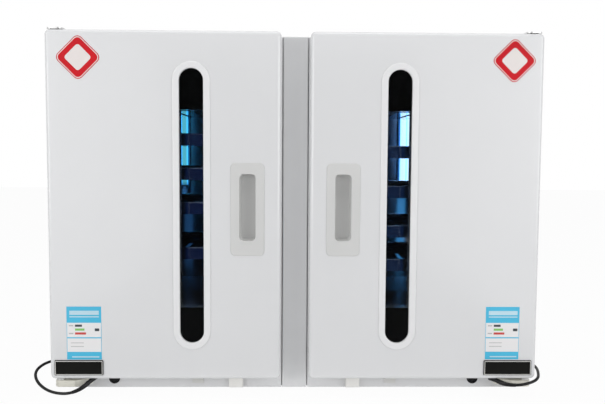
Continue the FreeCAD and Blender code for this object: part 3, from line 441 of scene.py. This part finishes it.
def push(bm, made, way):
    """Moves the vertices among what an extrusion made."""
    bmesh.ops.translate(bm, verts=[vert for vert in made if isinstance(vert, bmesh.types.BMVert)], vec=way)


for side, feet in (
    ("right", (0.247, 0.319, 0.403, 0.487, 0.583)), ("left", (0.271, 0.367, 0.439, 0.511, 0.583)),
):
    tray_low, tray_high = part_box(f"lowest_tray_{side}")
    tray_size = tray_high - tray_low
    tray_middle = (tray_low + tray_high) / 2
    beads = bmesh.new()
    for foot in feet:
        bead = bmesh.new()
        whole = sheet_shape(
            bead, tray_size.x + 2 * bead_over, tray_size.y + 2 * bead_over, bead_corner + bead_over
        )
        bmesh.ops.inset_region(bead, faces=whole, thickness=bead_round, use_boundary=True)
        bmesh.ops.delete(bead, geom=whole, context="FACES")
        push(bead, bmesh.ops.extrude_face_region(bead, geom=bead.faces[:])["geom"], (0, 0, bead_round))
        bmesh.ops.recalc_face_normals(bead, faces=bead.faces)
        ridges = [e for e in bead.edges if len(e.link_faces) == 2 and e.calc_face_angle() > sharp_turn]
        bmesh.ops.bevel(
            bead, geom=ridges, offset=bead_bevel, segments=3, profile=0.5, affect="EDGES", material=-1
        )
        bmesh.ops.translate(
            bead, verts=bead.verts, vec=(tray_middle.x, tray_middle.y, foot + tray_lip - bead_sink)
        )
        join(beads, bead)
    settle(f"tray_beads_{side}", beads, [bead_metal], "cabinet")


# Lamps: two ultraviolet tubes side by side in a flared reflector, in white holders. Each tube is bright
# in front, and its back throws blue light on the reflector. The left pair is old and dim.

# Dark satin metal for the reflector: its low tone is painted shade, darkening the gap between the tubes and
# the wall beside them.
satin_metal_and_shade = finish_of("satin_metal_and_shade", (0.16, 0.165, 0.17), 0.4, metallic=1.0, drift=0.05, grain=500)
dress(satin_metal_and_shade, "lamp_trays")
holder_white = finish_of("holder_white", (0.74, 0.75, 0.76), 0.35, drift=0.03, grain=900)
dress(holder_white, "lamp_holders")
cap_metal = finish_of("cap_metal", (0.6, 0.6, 0.61), 0.28, metallic=1.0, drift=0.05, grain=900)
dress(cap_metal, "tube_caps")

tube_low, tube_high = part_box("uv_tubes")
tube_glow = bpy.data.materials.new("tube_glow")
tube_glow.use_nodes = True
glow_nodes, glow_links = tube_glow.node_tree.nodes, tube_glow.node_tree.links
glow_shader = glow_nodes["Principled BSDF"]
glow_shader.inputs["Base Color"].default_value = (0.3, 0.42, 0.6, 1)
glow_shader.inputs["Roughness"].default_value = 0.15
glow_shader.inputs["Emission Strength"].default_value = 40.0
glow_where = glow_nodes.new("ShaderNodeTexCoord")
glow_split = glow_nodes.new("ShaderNodeSeparateXYZ")
glow_links.new(glow_where.outputs["Object"], glow_split.inputs["Vector"])


def share_of(source, low, high):
    """How far a value has gone from low to high."""
    share = glow_nodes.new("ShaderNodeMapRange")
    share.inputs["From Min"].default_value = low
    share.inputs["From Max"].default_value = high
    glow_links.new(source, share.inputs["Value"])
    return share.outputs["Result"]


def stepped(share, interpolation, *steps):
    """A colour for each stretch of a share, from (start, colour) steps."""
    ramp = glow_nodes.new("ShaderNodeValToRGB")
    ramp.color_ramp.interpolation = interpolation
    ramp.color_ramp.elements[0].color = (*steps[0][1], 1)
    ramp.color_ramp.elements[1].position = steps[-1][0]
    ramp.color_ramp.elements[1].color = (*steps[-1][1], 1)
    for start, colour in steps[1:-1]:
        ramp.color_ramp.elements.new(start).color = (*colour, 1)
    glow_links.new(share, ramp.inputs["Fac"])
    return ramp.outputs["Color"]


def mixed(kind, share, first, second):
    """Two colours put together by a share, in one way of blending."""
    mix = glow_nodes.new("ShaderNodeMix")
    mix.data_type = "RGBA"
    mix.blend_type = kind
    if share is None:
        mix.inputs["Factor"].default_value = 1.0
    else:
        glow_links.new(share, mix.inputs["Factor"])
    glow_links.new(first, mix.inputs["A"])
    glow_links.new(second, mix.inputs["B"])
    return mix.outputs["Result"]


across = share_of(glow_split.outputs["X"], tube_low.x, tube_high.x)
front_colour = stepped(
    across, "CONSTANT", (0.0, (0.0005, 0.0012, 0.002)), (0.0275, (0.0063, 0.029, 0.034)),
    (0.5, (0.048, 0.066, 0.079)),
)
back_colour = stepped(across, "CONSTANT", (0.0, (0.006, 0.085, 0.19)), (0.5, (0.011, 0.075, 0.23)))
glow_facing = glow_nodes.new("ShaderNodeNewGeometry")
facing_split = glow_nodes.new("ShaderNodeSeparateXYZ")
glow_links.new(glow_facing.outputs["Normal"], facing_split.inputs["Vector"])
to_back = share_of(facing_split.outputs["Y"], -0.85, 0.25)
arc_colour = stepped(
    share_of(glow_split.outputs["Z"], tube_low.z, tube_high.z), "LINEAR",
    (0.0, (0.3, 0.3, 0.4)), (0.05, (1, 1, 1)), (0.95, (1, 1, 1)), (1.0, (0.3, 0.3, 0.4)),
)
glow_links.new(
    mixed("MULTIPLY", None, mixed("MIX", to_back, front_colour, back_colour), arc_colour),
    glow_shader.inputs["Emission Color"],
)
dress(tube_glow, "uv_tubes")


def facing_front(x, y, z):
    """Stands a flat piece up at a point, so that its face looks out of the doors."""
    return Matrix.Translation((x, y, z)) @ Matrix.Rotation(math.radians(90), 4, "X")


# Dim strips stand for the tubes' light on the wall below them and for what the doors' pans throw back.
right_pane = sum(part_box("window_glass_right"), Vector()).x / 2
left_pane = sum(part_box("window_glass_left"), Vector()).x / 2
for name, place, size, watts, colour in (
    ("wall_light_right", (0.2885, 0.166, 0.305), (0.022, 0.21), 0.040, (0.10, 0.50, 1.0)),
    ("wall_light_left", (-0.2800, 0.166, 0.305), (0.022, 0.21), 0.010, (0.10, 0.42, 1.0)),
    ("pan_light_right", (right_pane, -0.160, 0.383), (0.05, 0.40), 0.007, (0.05, 0.22, 0.80)),
    ("pan_light_left", (left_pane, -0.160, 0.383), (0.05, 0.40), 0.006, (0.03, 0.14, 0.80)),
):
    lamp = bpy.data.lights.new(name, "AREA")
    lamp.shape = "RECTANGLE"
    lamp.size, lamp.size_y = size
    lamp.energy = watts
    lamp.color = colour
    strip_light = bpy.data.objects.new(name, lamp)
    scene.collection.objects.link(strip_light)
    strip_light.matrix_world = facing_front(*place)
    strip_light.visible_camera = False
    strip_light.visible_transmission = False


# Hinges: a bent steel plate over each door's top corner, held by two screws, and a cream enamelled
# casting under its bottom corner, with a thrust washer round the pin.

hinge_steel = finish_of(
    "hinge_steel", (0.62, 0.62, 0.62), 0.35, metallic=1.0, drift=0.08, grain=500, along=(0.1, 1, 1)
)
dress(hinge_steel, "top_hinge_right", "top_hinge_left", "pin_washers")
cream_enamel = finish_of("cream_enamel", (0.80, 0.78, 0.69), 0.3, drift=0.03, grain=350, depth=0.00004)
dress(cream_enamel, "bottom_hinge_right", "bottom_hinge_left")

screw_dark = finish_of("screw_dark", (0.26, 0.25, 0.24), 0.35, metallic=1.0, drift=0.15, grain=1500)
hinge_screws = bmesh.new()
plate_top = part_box("outer_shell")[1].z + 0.003
plate_screws_back, casting_screw_back, casting_screw_out = (0.009, 0.024), 0.012, 0.437
for side, name in ((-1, "left"), (1, "right")):
    plate_low, plate_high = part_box(f"top_hinge_{name}")
    plate_x = (plate_low.x + plate_high.x) / 2
    for back in plate_screws_back:
        seat = (plate_x, plate_high.y - back, plate_top)
        screw(hinge_screws, seat, (0, 0, 1), radius=0.0042, height=0.0022)
    casting_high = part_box(f"bottom_hinge_{name}")[1]
    seat = (side * casting_screw_out, casting_high.y - casting_screw_back, casting_high.z)
    screw(hinge_screws, seat, (0, 0, 1), radius=0.0045, height=0.0028)
settle("hinge_screws", hinge_screws, [screw_dark], "cabinet")


# Rail pieces: two round rocker switches in black plastic, two white switch blocks that the doors'
# magnets close, and a nylon glide for each door.

dress(moulding_black, "switch_bezels")
rocker_black = finish_of("rocker_black", (0.005, 0.005, 0.006), 0.35, drift=0.1, grain=1500, shine=0.2)
dress(rocker_black, "switch_rocker_right", "switch_rocker_left")
block_white = finish_of("block_white", (0.90, 0.89, 0.86), 0.4, drift=0.02, grain=1200, depth=0.00003)
dress(block_white, "door_contacts", "contact_magnet_right", "contact_magnet_left")
glide_nylon = finish_of("glide_nylon", (0.70, 0.70, 0.68), 0.45, drift=0.02, grain=1000, depth=0.00003)
dress(glide_nylon, "door_skids", "hinge_bushes_right", "hinge_bushes_left")


# Doors: a pressed skin and an inner pan in the cabinet's paint, with a soft grey magnetic seal that
# is pushed into the pan's groove.

dress(white_gloss, "door_skin_right", "door_skin_left", "door_pan_right", "door_pan_left")
seal_grey = finish_of("seal_grey", (0.42, 0.42, 0.42), 0.6, drift=0.05, grain=900, depth=0.00005)
dress(seal_grey, "door_gasket_right", "door_gasket_left")


# Windows: a white moulded ring, clipped through the skin, round a smoked pane. Black film behind the
# pane's ends hides the inside of the door, so that only its middle shows the chamber.

ring_white = finish_of("ring_white", (0.84, 0.84, 0.845), 0.22, drift=0.01, grain=900)
dress(ring_white, "window_bezel_right", "window_bezel_left")

smoked_glass = bpy.data.materials.new("smoked_glass")
smoked_glass.use_nodes = True
smoke_nodes, smoke_links = smoked_glass.node_tree.nodes, smoked_glass.node_tree.links
smoke = smoke_nodes["Principled BSDF"]
smoke.inputs["Transmission Weight"].default_value = 1.0
smoke.inputs["IOR"].default_value = 1.45
smoke.inputs["Specular IOR Level"].default_value = 0.08
smoke_where = smoke_nodes.new("ShaderNodeTexCoord")
smear = smoke_nodes.new("ShaderNodeTexNoise")
smear.inputs["Scale"].default_value = 14.0
smear.inputs["Detail"].default_value = 5.0
smoke_links.new(smoke_where.outputs["Object"], smear.inputs["Vector"])
smear_tint = smoke_nodes.new("ShaderNodeValToRGB")
smear_tint.color_ramp.elements[0].color = (0.34, 0.37, 0.40, 1)
smear_tint.color_ramp.elements[1].color = (0.38, 0.41, 0.44, 1)
smoke_links.new(smear.outputs["Fac"], smear_tint.inputs["Fac"])
smoke_links.new(smear_tint.outputs["Color"], smoke.inputs["Base Color"])
smear_gloss = smoke_nodes.new("ShaderNodeMapRange")
smear_gloss.inputs["To Min"].default_value = 0.01
smear_gloss.inputs["To Max"].default_value = 0.05
smoke_links.new(smear.outputs["Fac"], smear_gloss.inputs["Value"])
smoke_links.new(smear_gloss.outputs["Result"], smoke.inputs["Roughness"])
dress(smoked_glass, "window_glass_right", "window_glass_left")

film_black = finish_of("film_black", (0.003, 0.003, 0.003), 0.6, drift=0.2, grain=900, shine=0.1)
clear_foot, clear_top = 0.183, 0.582
film_gap, film_inset = 0.00015, 0.0004

for side in ("right", "left"):
    pane_low, pane_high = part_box(f"window_glass_{side}")
    pane_x = (pane_low.x + pane_high.x) / 2
    end_round = (pane_high.x - pane_low.x) / 2
    film = bmesh.new()
    for end_z, cut_z, up in (
        (pane_low.z + end_round, clear_foot, 1), (pane_high.z - end_round, clear_top, -1),
    ):
        disc = bmesh.ops.create_circle(
            film, cap_ends=True, segments=40, radius=end_round - film_inset,
            matrix=facing_front(pane_x, pane_high.y + film_gap, end_z),
        )["verts"]
        faces = list({face for vert in disc for face in vert.link_faces})
        edges = list({edge for vert in disc for edge in vert.link_edges})
        halves = bmesh.ops.bisect_plane(
            film, geom=disc + faces + edges, plane_co=(0, 0, end_z), plane_no=(0, 0, up), clear_outer=True
        )
        straight = [e for e in halves["geom_cut"] if isinstance(e, bmesh.types.BMEdge)]
        push(film, bmesh.ops.extrude_edge_only(film, edges=straight)["geom"], (0, 0, cut_z - end_z))
    bmesh.ops.recalc_face_normals(film, faces=film.faces)
    settle(f"black_film_{side}", film, [film_black], f"{side}_door")


# Pulls: a light grey moulding snapped into each door's skin, with a cup that the fingers hook into.

pull_grey = finish_of("pull_grey", (0.67, 0.67, 0.66), 0.38, drift=0.015, grain=1100, depth=0.00004)
dress(pull_grey, "pull_cup_right", "pull_cup_left")


# Name plates: black anodised aluminium, blank, each with a raised black edge and a bright line
# embossed just inside it. The line's pale metal also paints the highlight that its bevel catches.

plate_black = finish_of("plate_black", (0.007, 0.007, 0.006), 0.3, drift=0.15, grain=700, shine=0.15)
dress(plate_black, "name_plate_right", "name_plate_left")
# Pale metal for the embossed line, which also serves as a painted highlight on its bevel.
rim_metal_and_highlight = finish_of("rim_metal_and_highlight", (0.74, 0.73, 0.70), 0.45, metallic=0.4, drift=0.08, grain=600)
rim_corner, rim_inset, rim_lift = 0.0016, 0.0003, 0.0001
highlight_line, dark = 0, 1

for side in ("right", "left"):
    plate_low, plate_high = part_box(f"name_plate_{side}")
    size = plate_high - plate_low
    centre = (plate_low + plate_high) / 2
    rim = bmesh.new()
    field = sheet_shape(rim, size.x - 2 * rim_inset, size.z - 2 * rim_inset, rim_corner)
    # The pale rings are a real bright line with a painted highlight on its bevel.
    for width, rise, finish in (
        (0.0004, 0.0004, dark), (0.0006, 0.0, dark), (0.0003, 0.0002, highlight_line),
        (0.0009, 0.0, highlight_line), (0.0003, -0.0004, highlight_line), (0.0006, 0.0, dark),
    ):
        for face in bmesh.ops.inset_region(
            rim, faces=field, thickness=width, depth=rise, use_boundary=True
        )["faces"]:
            face.material_index = finish
    bmesh.ops.delete(rim, geom=field, context="FACES")
    bmesh.ops.transform(rim, matrix=facing_front(centre.x, plate_low.y - rim_lift, centre.z), verts=rim.verts)
    settle(f"plate_rim_{side}", rim, [rim_metal_and_highlight, plate_black], f"{side}_door")


# Badges: printed vinyl stuck near each door's outer top corner, a plain red diamond with a pale line
# inside its edge and a pale middle.

skin_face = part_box("door_skin_right")[0].y
badge_red = finish_of("badge_red", (0.62, 0.012, 0.020), 0.25, drift=0.12, grain=700, shine=0.15)
badge_pale = finish_of("badge_pale", (0.82, 0.76, 0.74), 0.25, drift=0.02, grain=700)
badge_thick, badge_layer = 0.0006, 0.0001
red, white = 0, 1

for side, x, z in (("right", 0.4353, 0.6830), ("left", -0.4298, 0.6825)):
    badge = bmesh.new()
    for radius, corner, lift, finish in (
        (0.0466, 0.0110, badge_thick, red),
        (0.0446, 0.0100, badge_thick + badge_layer, white),
        (0.0424, 0.0090, badge_thick + 2 * badge_layer, red),
        (0.0275, 0.0058, badge_thick + 3 * badge_layer, white),
    ):
        before = set(badge.faces)
        tips = bmesh.ops.create_circle(
            badge, cap_ends=True, segments=4, radius=radius, matrix=Matrix.Translation((0, 0, lift))
        )["verts"]
        bmesh.ops.bevel(
            badge, geom=tips, offset=corner, segments=8, profile=0.5, affect="VERTICES", material=-1
        )
        for face in set(badge.faces) - before:
            face.material_index = finish
    backing = [e for e in badge.edges if e.is_boundary and abs(e.verts[0].co.z - badge_thick) < 1e-6]
    push(badge, bmesh.ops.extrude_edge_only(badge, edges=backing)["geom"], (0, 0, -badge_thick))
    bmesh.ops.recalc_face_normals(badge, faces=badge.faces)
    bmesh.ops.transform(badge, matrix=facing_front(x, skin_face, z), verts=badge.verts)
    settle(f"badge_{side}", badge, [badge_red, badge_pale], f"{side}_door")


# Labels: printed paper over each name plate, with a blue head and foot, pale fields between them and
# a few plain bars, and no words.

label_paper = finish_of("label_paper", (0.86, 0.85, 0.85), 0.35, drift=0.01, grain=800)
label_blue = finish_of("label_blue", (0.075, 0.53, 0.79), 0.3, drift=0.05, grain=800)
label_pale = finish_of("label_pale", (0.56, 0.78, 0.88), 0.3, drift=0.08, grain=800)
label_dark = finish_of("label_dark", (0.05, 0.06, 0.07), 0.35, drift=0.1, grain=800)
label_green = finish_of("label_green", (0.24, 0.58, 0.14), 0.35, drift=0.1, grain=800)
label_red = finish_of("label_red", (0.62, 0.07, 0.06), 0.35, drift=0.1, grain=800)
label_grey = finish_of("label_grey", (0.50, 0.49, 0.50), 0.35, drift=0.1, grain=800)
paper_lift, ink_lift, bar_lift = 0.0002, 0.0003, 0.0004
label_tall, label_edge = 0.1090, 0.0009
paper, blue, pale, dark, green, red, grey = range(7)


def patch(bm, x0, x1, y0, y1, lift, finish):
    """A printed rectangle on the label, measured from its lower left corner."""
    corners = bmesh.ops.create_grid(bm, x_segments=1, y_segments=1, size=0.5)["verts"]
    place = Matrix.Translation(((x0 + x1) / 2, (y0 + y1) / 2, lift))
    bmesh.ops.transform(bm, verts=corners, matrix=place @ Matrix.Diagonal((x1 - x0, y1 - y0, 1, 1)))
    for face in corners[0].link_faces:
        face.material_index = finish


for side, x0, x1, foot in (("left", -0.4608, -0.3909, 0.0766), ("right", 0.3902, 0.4593, 0.0774)):
    label = bmesh.new()
    wide = x1 - x0
    patch(label, 0, wide, 0, label_tall, paper_lift, blue)
    patch(label, label_edge, wide - label_edge, 0.0159, 0.0437, ink_lift, paper)
    patch(label, label_edge, wide - label_edge, 0.0461, 0.0757, ink_lift, paper)
    for x, long, y, high, finish in (
        (0.0060, 0.0590, 0.0962, 0.0085, pale), (0.0060, 0.0590, 0.0880, 0.0022, pale),
        (0.0100, 0.0550, 0.0056, 0.0024, pale),
        (0.0168, 0.0140, 0.0698, 0.0044, dark), (0.0168, 0.0190, 0.0618, 0.0044, green),
        (0.0168, 0.0220, 0.0538, 0.0044, red), (0.0565, 0.0090, 0.0614, 0.0056, dark),
        (0.0045, 0.0090, 0.0698, 0.0024, grey), (0.0045, 0.0090, 0.0538, 0.0024, grey),
        (0.0080, 0.0260, 0.0345, 0.0012, grey), (0.0080, 0.0260, 0.0270, 0.0012, grey),
    ):
        patch(label, x, x + long, y - high / 2, y + high / 2, bar_lift, finish)
    bmesh.ops.transform(label, matrix=facing_front(x0, skin_face, foot), verts=label.verts)
    settle(
        f"label_{side}", label,
        [label_paper, label_blue, label_pale, label_dark, label_green, label_red, label_grey],
        f"{side}_door",
    )
